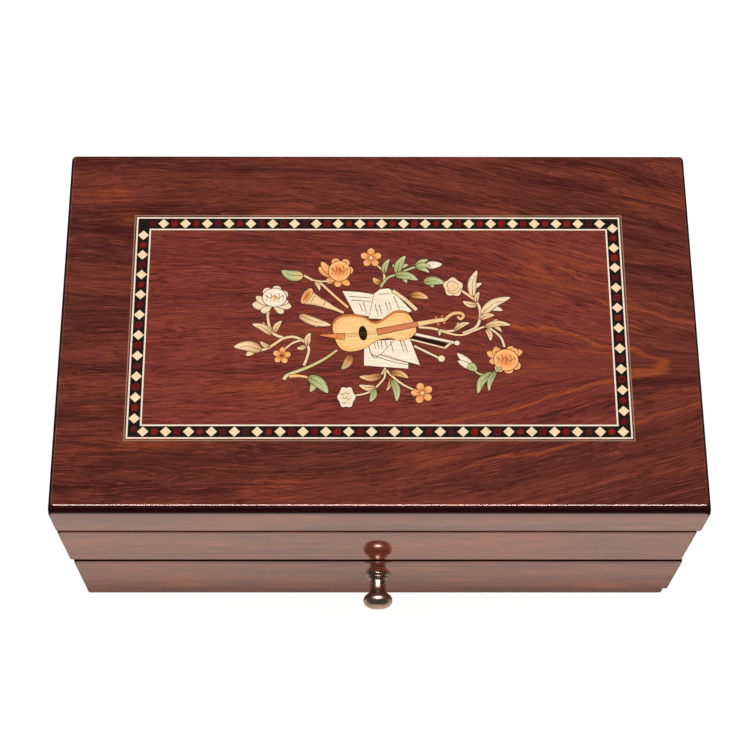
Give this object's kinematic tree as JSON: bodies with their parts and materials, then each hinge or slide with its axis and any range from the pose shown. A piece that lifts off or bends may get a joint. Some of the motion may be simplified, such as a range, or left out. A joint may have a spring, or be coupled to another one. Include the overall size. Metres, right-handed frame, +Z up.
{
  "type": "cylinder music box",
  "caption": "Lacquered wooden jewellery music box with a marquetry lid on hinges, a lined tray, a drawer with a knob, and a key-wound cylinder movement.",
  "frame": {"origin": "centre of the case's underside, on the surface that it stands on", "axes": "+X to the right along the front, -Y towards the drawer's knob, +Z up"},
  "size_m": [0.2542, 0.1861, 0.117],
  "materials": {
    "rosewood": "dark red rosewood veneer under gloss lacquer",
    "raw_wood": "plain sanded wood",
    "inlay_wood": "pale and dark inlaid veneers under gloss lacquer",
    "velvet": "burgundy velvet",
    "felt": "dark green felt",
    "antique_nickel": "antique nickel plate, satin",
    "brass": "polished brass",
    "steel": "ground steel",
    "cast_metal": "die-cast zinc",
    "mirror_glass": "silvered glass",
    "clear_plastic": "clear acrylic sheet"
  },
  "bodies": {
    "case": {"base_plinth": "rosewood", "case_left_side": "rosewood", "case_right_side": "rosewood", "case_front_panel": "rosewood", "case_back_panel": "rosewood", "tray_floor": "raw_wood", "drawer_runner_left": "raw_wood", "drawer_runner_right": "raw_wood", "drawer_stop": "raw_wood", "tray_wall_long": "velvet", "tray_wall_movement": "velvet", "tray_wall_rings": "velvet", "lining_rear": "velvet", "lining_front": "velvet", "ring_roll_1": "velvet", "ring_roll_2": "velvet", "ring_roll_3": "velvet", "ring_roll_4": "velvet", "base_felt": "felt", "hinge_left_case_leaf": "brass", "hinge_left_pin": "brass", "hinge_right_case_leaf": "brass", "hinge_right_pin": "brass", "barrel_bridge": "brass", "train_bridge": "brass", "governor_bridge": "brass", "comb": "steel", "comb_screw_1": "steel", "comb_screw_2": "steel", "movement_frame": "cast_metal", "comb_riser": "cast_metal", "movement_window": "clear_plastic"},
    "lid": {"lid_panel": "rosewood", "inlay_banding": "inlay_wood", "marquetry_field": "rosewood", "lid_front_rail": "rosewood", "lid_back_rail": "rosewood", "lid_left_rail": "rosewood", "lid_right_rail": "rosewood", "lid_lining": "velvet", "lid_mirror": "mirror_glass", "hinge_left_lid_leaf": "brass", "hinge_right_lid_leaf": "brass"},
    "drawer": {"drawer_front": "rosewood", "drawer_left_side": "raw_wood", "drawer_right_side": "raw_wood", "drawer_back": "raw_wood", "drawer_bottom": "raw_wood", "drawer_lining": "velvet", "drawer_divider": "velvet", "drawer_knob": "antique_nickel", "knob_screw": "steel"},
    "key": {"winding_key": "brass"},
    "barrel": {"spring_barrel": "brass", "mainspring": "steel"},
    "cylinder": {"music_cylinder": "brass"},
    "train": {"train_wheel": "brass"},
    "governor": {"governor_fly": "steel"},
    "stop_wire": {"stop_wire": "steel"}
  },
  "joints": [
    {"name": "lid_hinge", "type": "hinge", "parent": "case", "child": "lid", "pos_m": [0, 0.0794, 0.0897], "axis": [-1, 0, 0], "range_deg": [0, 100]},
    {"name": "drawer_slide", "type": "slide", "parent": "case", "child": "drawer", "axis": [0, -1, 0], "range_m": [0, 0.09]},
    {"name": "key_wind", "type": "hinge", "parent": "case", "child": "key", "pos_m": [0.054, 0.084, 0.071], "axis": [0, 1, 0], "continuous": true},
    {"name": "barrel_spin", "type": "hinge", "parent": "case", "child": "barrel", "pos_m": [0.054, 0.055, 0.071], "axis": [0, 1, 0], "continuous": true},
    {"name": "cylinder_spin", "type": "hinge", "parent": "case", "child": "cylinder", "pos_m": [0.07, 0.032, 0.071], "axis": [0, 1, 0], "continuous": true},
    {"name": "train_spin", "type": "hinge", "parent": "case", "child": "train", "pos_m": [0.083, 0.021, 0.071], "axis": [0, 1, 0], "continuous": true},
    {"name": "governor_spin", "type": "hinge", "parent": "case", "child": "governor", "pos_m": [0.08997, 0.025, 0.0726], "axis": [0, 0, 1], "continuous": true},
    {"name": "stop_wire_slide", "type": "slide", "parent": "case", "child": "stop_wire", "axis": [0, 0, 1], "range_m": [0, 0.003]}
  ],
  "couplings": [
    {"joint": "cylinder_spin", "follows": "barrel_spin", "ratio": -3},
    {"joint": "train_spin", "follows": "barrel_spin", "ratio": 10},
    {"joint": "governor_spin", "follows": "barrel_spin", "ratio": 45},
    {"joint": "stop_wire_slide", "follows": "lid_hinge", "m_per_rad": 0.0017}
  ]
}
